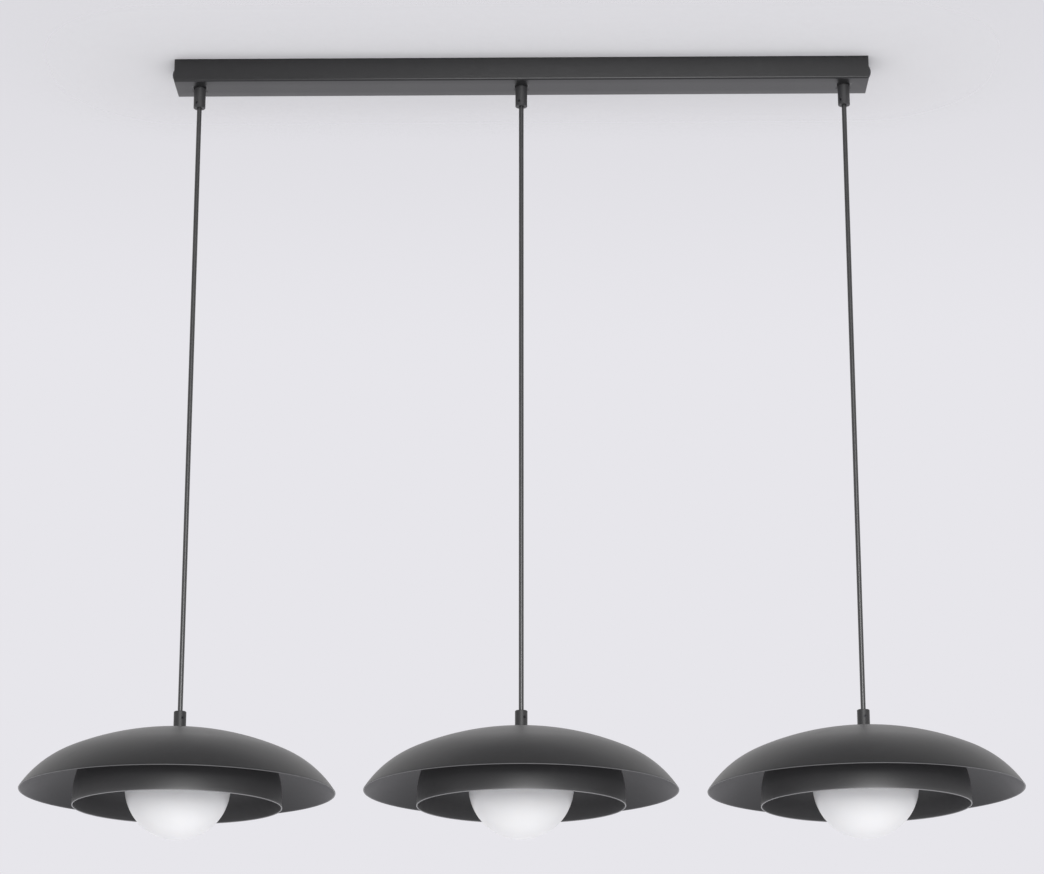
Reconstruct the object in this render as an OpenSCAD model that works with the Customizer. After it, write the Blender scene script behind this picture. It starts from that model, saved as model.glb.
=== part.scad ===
// Ceiling light with three pendants in a row. A long canopy holds three straight cords. Each cord
// carries a wide spun dome with a deeper bowl inside it, and an opal glass globe hangs in the bowl.
// Millimetres. The origin is the middle of the ceiling face: +X runs along the canopy, +Y to the
// back and +Z up, so the whole light hangs below Z = 0.

/* [Arrangement] */
// Free space between the rims of neighbouring domes
shade_gap = 26; // [16:1:80]
// Distance from an outer cord to the nearest end of the canopy
end_margin = 24; // [24:1:80]
// Free length of each cord between its two grips
cord_drop = 620; // [300:10:1400]

/* [Canopy] */
// Width of the canopy from front to back
canopy_width = 42; // [40:1:80]
// Height of the canopy
canopy_height = 24; // [24:1:48]
// Sheet thickness of the canopy
canopy_wall = 1.5; // [1:0.1:2]
// Inside radius of the canopy's two long bends
canopy_bend = 0.5; // [0.2:0.1:2]

/* [Ceiling bracket] */
// Width of the bracket strip
bracket_width = 25; // [22:1:32]
// Thickness of the bracket strip
bracket_wall = 1.5; // [1:0.1:2]
// Distance between the two screw slots
slot_spacing = 300; // [140:10:440]
// Length of each screw slot, end to end
slot_length = 20; // [10:1:40]
// Width of each screw slot
slot_width = 5; // [4:0.5:7]
// Diameter of the hole for the supply cable
cable_hole = 18; // [10:1:20]
// Width of the turned-down ends of the bracket
bracket_tab_width = 16; // [10:1:20]
// Shank diameter of the end screws and of the earth screw
screw_shank = 4; // [3:0.5:5]
// Distance of the end screws below the ceiling
end_screw_drop = 9; // [8:0.5:12]
// Length of the end screws under the head
end_screw_length = 8; // [5:0.5:10]
// Head diameter of the end screws
end_head = 12.4; // [9:0.2:14]
// Head height of the end screws
end_head_height = 4.2; // [2.5:0.1:5]
// Radius of the domed top of the end screws
end_head_dome = 9.4; // [8:0.1:16]
// Head diameter of the earth screw
screw_head = 7; // [6:0.5:9]
// Head height of the earth screw
screw_head_height = 1.4; // [1:0.1:2.4]

/* [Terminal block] */
// Size of the terminal block along the wires
block_length = 18; // [16:1:26]
// Size of the terminal block across its three ways
block_width = 31; // [28:1:34]
// Height of the terminal block
block_height = 13; // [11:1:15]
// Distance between neighbouring ways
way_pitch = 10; // [8:0.5:10]
// Diameter of each way
way_bore = 5; // [4.4:0.2:6]
// Diameter of the clamp screws in the block
clamp_screw = 3; // [2.5:0.1:3.5]
// Diameter of an insulated lead
lead_diameter = 2; // [1.4:0.1:2.2]

/* [Cords and grips] */
// Outer diameter of the cord
cord_diameter = 4.8; // [3:0.1:5.6]
// Diameter of the cord grips
grip_diameter = 12; // [12:0.5:20]
// Length of the grip below the canopy
canopy_grip_length = 21; // [18:1:50]
// Length of the grip above the dome
shade_grip_length = 19; // [18:0.5:50]
// Diameter of the thread on the grip studs and the nipples
stud_diameter = 10; // [8:0.5:10]
// Height of the stud above the canopy's lower face
stud_height = 7.5; // [6:0.5:9]
// Width of the lock nuts across their flats
nut_flats = 14; // [13:0.5:17]
// Thickness of the lock nuts
nut_height = 2.5; // [2:0.5:3.5]
// Diameter of the grub screws that clamp the cords
grub_diameter = 3; // [2:0.5:3.5]
// Height of the grub screw above the mouth of a canopy grip
canopy_grub_height = 4.5; // [3:0.5:12]
// Depth of the grub screw below the top of a shade grip
shade_grub_depth = 7; // [4:0.5:8]
// Bevel on the free edge of each grip
grip_bevel = 0.5; // [0.2:0.1:1]

/* [Outer shade] */
// Diameter of the dome's rim
outer_diameter = 300; // [270:5:360]
// Radius of the dome's shallow crown
outer_crown = 264; // [230:2:320]
// Radius of the rounder band next to the rim
outer_shoulder = 97; // [70:1:110]
// Slope of the dome at its rim, in degrees from level
outer_rim_slope = 57.4; // [45:0.2:65]
// Sheet thickness of the dome
outer_wall = 1; // [0.8:0.1:1.6]
// Radius of the flat seat at the middle of the dome
outer_seat = 14; // [12:1:20]

/* [Inner shade] */
// Diameter of the bowl's rim
inner_diameter = 198.6; // [180:1:210]
// Height of the bowl from its rim to its seat
inner_height = 67.2; // [62:0.2:68]
// Height of the nearly straight wall above the rim
inner_straight = 15.3; // [10:0.1:18]
// Draft of the straight wall, in degrees from upright
inner_draft = 2.6; // [1:0.1:5]
// Radius of the bowl's side above the straight wall
inner_side = 64; // [58:1:66]
// Radius of the bend between the side and the crown
inner_knuckle = 14; // [8:1:20]
// Sheet thickness of the bowl
inner_wall = 1; // [0.8:0.1:1.6]
// Distance between the dome and the bowl at the spacer
spacer_height = 5; // [4:0.5:12]
// Diameter of the spacer
spacer_diameter = 18; // [15:1:22]

/* [Globe and lamp] */
// Diameter of the glass globe
globe_diameter = 100; // [90:1:120]
// Thickness of the glass
glass_wall = 2; // [1.5:0.1:3]
// Outer diameter of the globe's neck
neck_diameter = 62; // [52:1:66]
// Height of the neck above the ball
neck_height = 5.4; // [5:0.1:8]
// How far the three lugs stand out of the neck
lug_depth = 2; // [1.4:0.1:3]
// Height of the lugs
lug_height = 2.5; // [2:0.1:3]
// Sheet thickness of the holder cup
cup_wall = 1; // [0.8:0.1:1.6]
// Thickness of the tabs that carry the lugs
tab_height = 1.2; // [0.8:0.1:1.6]
// Diameter of the ceramic lampholder
holder_diameter = 22; // [20:1:28]
// Height of the lampholder
holder_height = 18; // [17:0.5:24]
// Diameter of the capsule lamp
lamp_diameter = 16; // [12:1:20]
// Length of the capsule below its collar
lamp_length = 46; // [30:1:50]
// Distance between the two pins of the lamp
pin_pitch = 9; // [8:0.5:9.5]

/* [Hidden] */
$fn = 96;

// Clearances: loose parts, threads, and pieces that move past each other
play = 0.3;
thread_play = 0.05;
hole_play = 0.15;
cut = 1;

// The three pendants, by their place along the canopy
left = 0;
middle = 1;
right = 2;
pendant_pitch = outer_diameter + shade_gap;
pendant_x = [-pendant_pitch, 0, pendant_pitch];
canopy_length = 2 * pendant_pitch + 2 * end_margin;

// Direction of each grub screw, in degrees from the front towards the right
canopy_grub_turn = [-23, -22, -40];
shade_grub_turn = [32, 32, 12];

// Heights in the canopy
floor_z = -canopy_height + canopy_wall;
end_screw_z = -end_screw_drop;
inner_length = canopy_length - 2 * canopy_wall;
bracket_length = inner_length - 2 * play;

// Cord and grips
cord_radius = cord_diameter / 2;
grip_bore = cord_radius + play;
stud_radius = stud_diameter / 2;
grip_mouth_z = -canopy_height - canopy_grip_length;
bend_length = 12;
lower_bend_z = grip_mouth_z - bend_length;
shade_grip_top_z = grip_mouth_z - cord_drop;
tail_bend_radius = 10;
tail_height = 16;
tail_run_z = floor_z + tail_height;

// Stack of pieces on the nipple, from the dome down
outer_seat_z = shade_grip_top_z - shade_grip_length;
inner_seat_z = outer_seat_z - outer_wall - spacer_height;
cup_plate_z = inner_seat_z - inner_wall;
nut_top_z = cup_plate_z - cup_wall;
holder_top_z = nut_top_z - nut_height;
nipple_in_grip = 8;
nipple_in_holder = 4;
nipple_bottom_z = holder_top_z - nipple_in_holder;
nipple_bore = cord_radius + 2 * play;
cord_end_z = nipple_bottom_z - 1;

// Dome: crown arc about the axis, then a rounder arc that ends at the rim
outer_radius = outer_diameter / 2;
outer_join = asin((outer_radius - outer_shoulder * sin(outer_rim_slope)) / (outer_crown - outer_shoulder));
outer_crown_z = outer_seat_z - sqrt(outer_crown ^ 2 - outer_seat ^ 2);
outer_shoulder_at = [0, outer_crown_z] + (outer_crown - outer_shoulder) * from_top(outer_join);
outer_rim_z = outer_shoulder_at.y + outer_shoulder * cos(outer_rim_slope);

// Bowl: crown, knuckle, side arc and straight wall, each tangent to the next
inner_rim_radius = inner_diameter / 2;
inner_rim_z = inner_seat_z - inner_height;
cup_inside = neck_diameter / 2 + lug_depth + 2 * play;
cup_radius = cup_inside + cup_wall;
inner_seat = cup_radius + 1.4;
inner_crown = outer_crown - outer_wall - spacer_height;
inner_crown_at = [0, inner_seat_z - sqrt(inner_crown ^ 2 - inner_seat ^ 2)];
inner_wall_top = [inner_rim_radius, inner_rim_z] + inner_straight * [-sin(inner_draft), cos(inner_draft)];
inner_side_at = inner_wall_top - inner_side * from_top(90 - inner_draft);
inner_knuckle_at = meeting(inner_crown_at, inner_crown - inner_knuckle, inner_side_at, inner_side - inner_knuckle);
inner_crown_turn = angle_of(inner_knuckle_at - inner_crown_at);
inner_side_turn = angle_of(inner_knuckle_at - inner_side_at);

// The slice of the smaller disc runs on under its neighbour by this many degrees
slice_lap = 4;

// Globe, hung by three lugs on the tabs of the cup
neck_radius = neck_diameter / 2;
globe_radius = globe_diameter / 2;
neck_gap = 1.2;
neck_top_z = nut_top_z - neck_gap;
neck_base_z = neck_top_z - neck_height;
globe_z = neck_base_z - sqrt(globe_radius ^ 2 - neck_radius ^ 2);
tab_top_z = neck_base_z + tab_height;
cup_rim_z = neck_base_z - 0.4;
tab_inside = neck_radius + 0.4;
lug_count = 3;
lug_turn = 24;
tab_turn = 32;
stop_turn = 5;

// Lampholder and lamp
holder_bottom_z = holder_top_z - holder_height;
chamber_depth = 4.3;
chamber_bottom_z = nipple_bottom_z - chamber_depth;
recess_depth = 2;
recess_radius = 7.5;
pin_width = 2.6;
pin_thickness = 1;
contact_thickness = 0.5;
contact_width = 4;
slot_inside = pin_pitch / 2 - pin_thickness / 2 - 0.8;
slot_outside = pin_pitch / 2 + pin_thickness / 2 + play + contact_thickness + 0.8;
collar_top_z = holder_bottom_z + recess_depth - play;
collar_radius = 7;
collar_height = 4;
capsule_radius = lamp_diameter / 2;

// Terminal block on the canopy's floor, between the middle and the right pendant
block_x = 80;
way_height = 6;
way_z = floor_z + way_height;
clamp_offset = 4.5;
lead_radius = lead_diameter / 2;

// The supply cable comes in between the middle grip and the block
cable_x = 34;

// Ends of the cords' outer sheaths in the canopy, and the directions they run in
tail_end = [[52, 14], [52, -4], [108, -13]];

// Earth lug on the bracket's back edge
earth_x = 130;
earth_lug_width = 10;
earth_height = 15;
earth_z = floor_z + earth_height;
earth_lug_depth = -earth_z + screw_head / 2 + 1;
earth_ring = 0.8;
earth_ring_radius = screw_head / 2 + 1.5;
earth_lug_y = bracket_width / 2 - bracket_wall;

// Routes of the leads from the cord ends to the block, on points chosen by hand. Each height is
// counted from the canopy's floor. Two leads lie side by side in a cord and in a way.
beside = lead_radius + 0.1;
live_routes = [
    concat(out_of_tail(left, beside), [[57, 14.6, 15], [62, 13, 11], [66, 11.6, 7.2],
        [69, way_pitch + beside, way_height], [75, way_pitch + beside, way_height]]),
    concat(out_of_tail(middle, beside), [[56, -2, 14.2], [59, 1, 10.6], [62, 5, 7.4],
        [65.5, 7.8, way_height], [69, way_pitch - beside, way_height],
        [75, way_pitch - beside, way_height]]),
    concat(out_of_tail(right, -beside), [[103, -9.4, 15.4], [100, -4, 14.4], [97, 2, 12.4], [94, 7, 9.2],
        [92, 9.4, 6.8], [90, way_pitch, way_height], [85, way_pitch, way_height]]),
];
neutral_routes = [
    concat(out_of_tail(left, -beside), [[57, 9.6, 15.8], [60, 4, 15.6], [64, -3, 14.6], [67, -8, 12],
        [68.5, -10.8, 8.4], [70.5, -way_pitch - beside, way_height],
        [75, -way_pitch - beside, way_height]]),
    concat(out_of_tail(middle, -beside), [[57, -6, 14.2], [61, -7, 10.8], [65, -8.2, 7.2],
        [69, -way_pitch + beside, way_height], [75, -way_pitch + beside, way_height]]),
    concat(out_of_tail(right, beside), [[103, -13.8, 14.6], [99, -12.4, 11.4], [94, -10.6, 7.2],
        [90.5, -way_pitch, way_height], [85, -way_pitch, way_height]]),
];
earth_route = [[126, earth_lug_y - 1.1, earth_height], [121, earth_lug_y - 1.5, 14.8], [115, 7.6, 13],
    [108, 4, 9], [101, 1, 6.6], [95, 0, way_height], [85, 0, way_height]];

satin_black = [0.2, 0.2, 0.21];
cord_black = [0.13, 0.13, 0.14];
bright_steel = [0.72, 0.73, 0.75];
brass = [0.78, 0.63, 0.32];
ceramic_white = [0.92, 0.91, 0.87];
opal_white = [0.95, 0.95, 0.94];

// Direction at an angle from straight up towards +X, in the plane of a profile
function from_top(turn) = [sin(turn), cos(turn)];
// Angle from straight up of a direction in the plane of a profile
function angle_of(d) = atan2(d.x, d.y);
// Outer meeting point of two circles
function meeting(a, ra, b, rb) =
    let (d = norm(b - a), along = (ra ^ 2 - rb ^ 2 + d ^ 2) / (2 * d), aside = sqrt(ra ^ 2 - along ^ 2),
         u = (b - a) / d)
    a + along * u + aside * [u.y, -u.x] * sign(u.y);

// Straight start of a lead, square to the end face of its cord
function out_of_tail(side, aside) =
    let (way = unit(tail_end[side] - [pendant_x[side], 0]), at = tail_end[side] + aside * [-way.y, way.x])
    [for (along = [0, 1.5]) [at.x + along * way.x, at.y + along * way.y, tail_height]];

// Tube along a route: the tangents, then rings that turn as little as they can
function unit(v) = v / norm(v);
function tangent(p, i) = unit(p[min(i + 1, len(p) - 1)] - p[max(i - 1, 0)]);
function across(t, seed) = unit(seed - (seed * t) * t);
function sides_of(p, i, seed) =
    i == len(p) ? [] : let (n = across(tangent(p, i), seed)) concat([n], sides_of(p, i + 1, n));
function tube_points(p, r, count) =
    let (normals = sides_of(p, 0, [0.1, 0.2, 1]))
    [for (i = [0:len(p) - 1]) let (t = tangent(p, i), n = normals[i], b = cross(t, n))
        for (k = [0:count - 1]) p[i] + r * cos(360 * k / count) * n + r * sin(360 * k / count) * b];
module tube(p, r, count) {
    last = len(p) - 1;
    ring_faces = [for (i = [0:last - 1], k = [0:count - 1]) let (m = (k + 1) % count)
        each [[i * count + k, (i + 1) * count + k, (i + 1) * count + m],
              [i * count + k, (i + 1) * count + m, i * count + m]]];
    start_face = [for (k = [0:count - 1]) k];
    end_face = [for (k = [count - 1:-1:0]) last * count + k];
    polyhedron(tube_points(p, r, count), concat(ring_faces, [start_face], [end_face]));
}
module lead(route) {
    translate([0, 0, floor_z]) tube(route, lead_radius, 8);
}

// Slice of a disc between two angles from straight up
module disc_slice(at, radius, start, end) {
    reach = radius * 1.3;
    intersection() {
        translate(at) circle(r = radius);
        polygon([at, at + reach * from_top(start), at + reach * from_top((start + end) / 2),
                 at + reach * from_top(end)]);
    }
}
// Keeps what lies on the +X side of the axis, between two heights
module half_band(low, high, reach) {
    intersection() {
        children();
        translate([0, low]) square([reach, high - low]);
    }
}
// Part of a ring, centred on the +X axis
module ring_sector(inside, outside, turn, height) {
    reach = outside * 1.5;
    linear_extrude(height) intersection() {
        difference() {
            circle(r = outside);
            circle(r = inside);
        }
        polygon([[0, 0], reach * [cos(turn / 2), -sin(turn / 2)], [reach, 0],
                 reach * [cos(turn / 2), sin(turn / 2)]]);
    }
}
module on_pendant(side) {
    translate([pendant_x[side], 0, 0]) children();
}
// Turns +X to a direction counted from the front towards the right
module from_front(turn) {
    rotate([0, 0, turn - 90]) children();
}
module pan_screw(length) {
    cylinder(r = screw_shank / 2, h = length);
    translate([0, 0, -screw_head_height]) difference() {
        cylinder(r = screw_head / 2, h = screw_head_height);
        for (turn = [0, 90]) {
            rotate([0, 0, turn]) translate([-screw_head / 4, -0.4, -cut])
                cube([screw_head / 2, 0.8, cut + screw_head_height / 2]);
        }
    }
}
// Screw with a domed head and a hexagon socket, for the ends of the canopy
module domed_screw(length) {
    socket_flats = 4;
    socket_depth = 2;
    cylinder(r = screw_shank / 2, h = length);
    translate([0, 0, -end_head_height]) difference() {
        rotate_extrude() intersection() {
            translate([0, end_head_dome]) circle(r = end_head_dome);
            square([end_head / 2, end_head_height]);
        }
        translate([0, 0, -cut]) cylinder(r = socket_flats / sqrt(3), h = socket_depth + cut, $fn = 6);
    }
}
module hex_nut() {
    difference() {
        cylinder(r = nut_flats / sqrt(3), h = nut_height, $fn = 6);
        translate([0, 0, -cut]) cylinder(r = stud_radius + thread_play, h = nut_height + 2 * cut);
    }
}
// Grub screw along +X, from the cord to just under the grip's surface
module grub_screw() {
    socket_depth = 1.2;
    rotate([0, 90, 0]) difference() {
        translate([0, 0, cord_radius]) cylinder(r = grub_diameter / 2 - thread_play, h = grip_diameter / 2 - play - cord_radius);
        translate([0, 0, grip_diameter / 2 - play - socket_depth])
            cylinder(r = grub_diameter / 4, h = socket_depth + cut, $fn = 6);
    }
}
module grub_hole() {
    rotate([0, 90, 0]) cylinder(r = grub_diameter / 2, h = grip_diameter);
}

// Folded canopy, open towards the ceiling
module canopy_section(inset) {
    width = canopy_width - 2 * inset;
    radius = canopy_bend + canopy_wall - inset;
    low = -canopy_height + inset;
    square_top = inset > 0 ? cut : 0;
    translate([-width / 2, low + radius]) square([width, -low - radius + square_top]);
    translate([-width / 2 + radius, low]) square([width - 2 * radius, radius + cut / 2]);
    for (side = [-1, 1]) {
        translate([side * (width / 2 - radius), low + radius]) circle(r = radius);
    }
}
module canopy_bar(inset, length) {
    translate([-length / 2, 0, 0]) rotate([90, 0, 90]) linear_extrude(length) canopy_section(inset);
}
module canopy_housing() {
    color(satin_black) difference() {
        canopy_bar(0, canopy_length);
        canopy_bar(canopy_wall, inner_length);
        for (x = pendant_x) {
            translate([x, 0, -canopy_height - cut])
                cylinder(r = stud_radius + hole_play, h = canopy_wall + 2 * cut);
        }
        for (side = [-1, 1]) {
            translate([side * (canopy_length / 2 - canopy_wall / 2), 0, end_screw_z]) rotate([0, 90, 0])
                cylinder(r = screw_shank / 2 + hole_play, h = 2 * canopy_wall, center = true);
        }
    }
}
// Steel strip against the ceiling, with turned-down ends that the end screws are driven into
module ceiling_bracket() {
    below_screw = 3;
    tab_depth = -end_screw_z + screw_shank / 2 + below_screw;
    color(bright_steel) difference() {
        union() {
            translate([-bracket_length / 2, -bracket_width / 2, -bracket_wall])
                cube([bracket_length, bracket_width, bracket_wall]);
            for (side = [-1, 1]) {
                translate([side * (bracket_length - bracket_wall) / 2, 0, -tab_depth / 2])
                    cube([bracket_wall, bracket_tab_width, tab_depth], center = true);
            }
            translate([earth_x - earth_lug_width / 2, earth_lug_y, -earth_lug_depth])
                cube([earth_lug_width, bracket_wall, earth_lug_depth]);
        }
        for (side = [-1, 1]) {
            translate([side * slot_spacing / 2, 0, -bracket_wall - cut]) slot_cutter();
            translate([side * (bracket_length - bracket_wall) / 2, 0, end_screw_z]) rotate([0, 90, 0])
                cylinder(r = screw_shank / 2 + thread_play, h = 2 * bracket_wall, center = true);
        }
        translate([cable_x, 0, -bracket_wall - cut]) cylinder(r = cable_hole / 2, h = bracket_wall + 2 * cut);
        translate([earth_x, earth_lug_y + bracket_wall / 2, earth_z]) rotate([90, 0, 0])
            cylinder(r = screw_shank / 2 + thread_play, h = 2 * bracket_wall, center = true);
    }
}
module slot_cutter() {
    straight = slot_length - slot_width;
    depth = bracket_wall + 2 * cut;
    translate([-straight / 2, -slot_width / 2, 0]) cube([straight, slot_width, depth]);
    for (side = [-1, 1]) {
        translate([side * straight / 2, 0, 0]) cylinder(r = slot_width / 2, h = depth);
    }
}
module end_screws() {
    color(satin_black) for (side = [-1, 1]) {
        translate([side * canopy_length / 2, 0, end_screw_z]) rotate([0, -90 * side, 0])
            domed_screw(end_screw_length);
    }
}
module terminal_block() {
    color(ceramic_white) difference() {
        translate([block_x - block_length / 2, -block_width / 2, floor_z])
            cube([block_length, block_width, block_height]);
        for (way = [-1:1]) {
            translate([block_x, way * way_pitch, way_z]) rotate([0, 90, 0])
                cylinder(r = way_bore / 2, h = block_length + 2 * cut, center = true);
            for (side = [-1, 1]) {
                translate([block_x + side * clamp_offset, way * way_pitch, way_z])
                    cylinder(r = clamp_screw / 2 + hole_play, h = block_height);
            }
        }
    }
}
// Clamp screws that stand on the leads in the block
module terminal_screws() {
    tip_z = way_z + lead_radius;
    head_z = floor_z + block_height - 1;
    color(brass) for (way = [-1:1], side = [-1, 1]) {
        translate([block_x + side * clamp_offset, way * way_pitch, tip_z]) difference() {
            cylinder(r = clamp_screw / 2, h = head_z - tip_z);
            translate([-clamp_screw, -0.3, head_z - tip_z - 0.8]) cube([2 * clamp_screw, 0.6, cut + 0.8]);
        }
    }
}
module earth_screw() {
    color(brass) translate([earth_x, earth_lug_y - earth_ring, earth_z]) rotate([-90, 0, 0])
        pan_screw(earth_ring + bracket_wall + 3);
}
module earth_lead() {
    color([0.45, 0.62, 0.2]) {
        lead(earth_route);
        translate([earth_x, earth_lug_y, earth_z]) rotate([90, 0, 0]) difference() {
            cylinder(r = earth_ring_radius, h = earth_ring);
            translate([0, 0, -cut]) cylinder(r = screw_shank / 2 + hole_play, h = earth_ring + 2 * cut);
        }
    }
}
module live_leads() {
    color([0.45, 0.26, 0.14]) for (route = live_routes) lead(route);
}
module neutral_leads() {
    color([0.2, 0.36, 0.7]) for (route = neutral_routes) lead(route);
}
module canopy_lock_nuts() {
    color(bright_steel) for (x = pendant_x) translate([x, 0, floor_z]) hex_nut();
}
module canopy_grub_screws() {
    color(satin_black) for (side = [left, middle, right]) {
        translate([pendant_x[side], 0, grip_mouth_z + canopy_grub_height])
            from_front(canopy_grub_turn[side]) grub_screw();
    }
}
// Grip under the canopy: a round body with a threaded stud through the canopy's floor
module canopy_grip(side) {
    body_radius = grip_diameter / 2;
    color(satin_black) on_pendant(side) difference() {
        rotate_extrude() polygon([
            [grip_bore, grip_mouth_z], [body_radius - grip_bevel, grip_mouth_z],
            [body_radius, grip_mouth_z + grip_bevel], [body_radius, -canopy_height],
            [stud_radius, -canopy_height], [stud_radius, -canopy_height + stud_height],
            [grip_bore, -canopy_height + stud_height]]);
        translate([0, 0, grip_mouth_z + canopy_grub_height]) from_front(canopy_grub_turn[side]) grub_hole();
    }
}
// Upper end of the cord: up through the grip, over in a quarter turn and along the canopy
module cord_tail(side) {
    target = tail_end[side] - [pendant_x[side], 0];
    low = grip_mouth_z + cord_radius + play;
    run = norm(target) - tail_bend_radius;
    upright_top = tail_run_z - tail_bend_radius;
    color(cord_black) on_pendant(side) rotate([0, 0, atan2(target.y, target.x)]) {
        translate([0, 0, low]) cylinder(r = cord_radius, h = upright_top - low);
        translate([tail_bend_radius, 0, upright_top]) rotate([90, 0, 0]) rotate([0, 0, 90])
            rotate_extrude(angle = 90) translate([tail_bend_radius, 0]) circle(r = cord_radius);
        translate([tail_bend_radius, 0, tail_run_z]) rotate([0, 90, 0]) cylinder(r = cord_radius, h = run);
    }
}
// Stretch of cord that hangs from a height, with a round top that turns in place
module hanging_stretch(top, bottom) {
    translate([0, 0, top]) rotate_extrude() {
        intersection() {
            circle(r = cord_radius);
            square([cord_radius, cord_radius]);
        }
        translate([0, bottom - top]) square([cord_radius, top - bottom]);
    }
}
// First bit of free cord, which bends front to back at the grip's mouth
module cord_bend(side) {
    color(cord_black) on_pendant(side) hanging_stretch(grip_mouth_z, lower_bend_z + cord_radius + play);
}
module cord(side) {
    color(cord_black) on_pendant(side) hanging_stretch(lower_bend_z, cord_end_z);
}
// Grip on the dome: bored for the cord above and threaded for the nipple below
module shade_grip(side) {
    body_radius = grip_diameter / 2;
    thread_radius = stud_radius + thread_play;
    thread_top_z = outer_seat_z + nipple_in_grip + play;
    color(satin_black) on_pendant(side) difference() {
        rotate_extrude() polygon([
            [thread_radius, outer_seat_z], [body_radius, outer_seat_z],
            [body_radius, shade_grip_top_z - grip_bevel], [body_radius - grip_bevel, shade_grip_top_z],
            [grip_bore, shade_grip_top_z], [grip_bore, thread_top_z], [thread_radius, thread_top_z]]);
        translate([0, 0, shade_grip_top_z - shade_grub_depth]) from_front(shade_grub_turn[side]) grub_hole();
    }
}
module shade_grub_screw(side) {
    color(satin_black) on_pendant(side) translate([0, 0, shade_grip_top_z - shade_grub_depth])
        from_front(shade_grub_turn[side]) grub_screw();
}
module nipple(side) {
    color(bright_steel) on_pendant(side) translate([0, 0, nipple_bottom_z]) difference() {
        length = outer_seat_z + nipple_in_grip - nipple_bottom_z;
        cylinder(r = stud_radius, h = length);
        translate([0, 0, -cut]) cylinder(r = nipple_bore, h = length + 2 * cut);
    }
}
// Area inside the dome's profile, drawn in by an inset
module dome_area(inset) {
    reach = outer_crown;
    low = outer_rim_z - (inset > 0 ? cut : 0);
    half_band(low, outer_seat_z - inset, reach) {
        disc_slice([0, outer_crown_z], outer_crown - inset, -cut, outer_join);
        disc_slice(outer_shoulder_at, outer_shoulder - inset, outer_join - slice_lap, 90);
    }
}
module outer_shade(side) {
    color(satin_black) on_pendant(side) rotate_extrude($fn = 180) difference() {
        dome_area(0, $fn = 360);
        dome_area(outer_wall, $fn = 360);
        translate([0, outer_seat_z - outer_wall - cut])
            square([stud_radius + hole_play, outer_wall + 2 * cut]);
    }
}
module spacer(side) {
    color(satin_black) on_pendant(side) translate([0, 0, inner_seat_z]) difference() {
        cylinder(r = spacer_diameter / 2, h = spacer_height);
        translate([0, 0, -cut]) cylinder(r = stud_radius + hole_play, h = spacer_height + 2 * cut);
    }
}
// Area inside the bowl's profile, drawn in by an inset
module bowl_area(inset) {
    reach = inner_crown;
    past = inset > 0 ? cut : 0;
    out = from_top(90 - inner_draft);
    down = [sin(inner_draft), -cos(inner_draft)];
    wall_top = inner_wall_top - inset * out;
    wall_low = wall_top + (inner_straight + 2 * past) * down;
    in_side = inner_side_at + 0.9 * inner_side * from_top((inner_side_turn + 90 - inner_draft) / 2);
    in_knuckle = inner_knuckle_at + inner_knuckle / 2 * from_top((inner_crown_turn + inner_side_turn) / 2);
    half_band(inner_rim_z - past, inner_seat_z - inset, reach) {
        disc_slice(inner_crown_at, inner_crown - inset, -cut, inner_crown_turn);
        disc_slice(inner_knuckle_at, inner_knuckle - inset, inner_crown_turn - slice_lap,
            inner_side_turn + slice_lap);
        disc_slice(inner_side_at, inner_side - inset, inner_side_turn, 90 - inner_draft + slice_lap);
        polygon([[-cut, wall_low.y], wall_low, wall_top, in_side, in_knuckle, [-cut, in_knuckle.y]]);
    }
}
module inner_shade(side) {
    color(satin_black) on_pendant(side) rotate_extrude($fn = 180) difference() {
        bowl_area(0, $fn = 360);
        bowl_area(inner_wall, $fn = 360);
        translate([0, inner_seat_z - inner_wall - cut])
            square([stud_radius + hole_play, inner_wall + 2 * cut]);
    }
}
// Cup under the bowl's seat, with three inward tabs and a stop beside each
module holder_cup(side) {
    into_wall = cup_wall / 2;
    into_tab = tab_height / 2;
    stop_inside = tab_inside + 0.5;
    stop_at = lug_turn / 2 + 1 + stop_turn / 2;
    color(bright_steel) on_pendant(side) {
        rotate_extrude() polygon([
            [stud_radius + hole_play, cup_plate_z], [cup_radius, cup_plate_z],
            [cup_radius, cup_rim_z], [cup_inside, cup_rim_z], [cup_inside, nut_top_z],
            [stud_radius + hole_play, nut_top_z]]);
        for (k = [0:lug_count - 1]) rotate([0, 0, 360 * k / lug_count]) {
            translate([0, 0, neck_base_z])
                ring_sector(tab_inside, cup_inside + into_wall, tab_turn, tab_height);
            rotate([0, 0, stop_at]) translate([0, 0, tab_top_z - into_tab])
                ring_sector(stop_inside, cup_inside + into_wall, stop_turn, into_tab + lug_height);
        }
    }
}
module lock_nut(side) {
    color(bright_steel) on_pendant(side) translate([0, 0, holder_top_z]) hex_nut();
}
// Ceramic body with a threaded entry, a wiring chamber, two contact slots and a recess
module lampholder(side) {
    color(ceramic_white) on_pendant(side) difference() {
        translate([0, 0, holder_bottom_z]) cylinder(r = holder_diameter / 2, h = holder_height);
        translate([0, 0, nipple_bottom_z])
            cylinder(r = stud_radius + thread_play, h = nipple_in_holder + cut);
        translate([-slot_outside - 0.4, -4, chamber_bottom_z])
            cube([2 * slot_outside + 0.8, 8, chamber_depth]);
        for (turn = [0, 180]) {
            rotate([0, 0, turn]) translate([slot_inside, -3.5, holder_bottom_z - cut])
                cube([slot_outside - slot_inside, 7, chamber_bottom_z - holder_bottom_z + 2 * cut]);
        }
        translate([0, 0, holder_bottom_z - cut]) cylinder(r = recess_radius, h = recess_depth + cut);
    }
}
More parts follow.
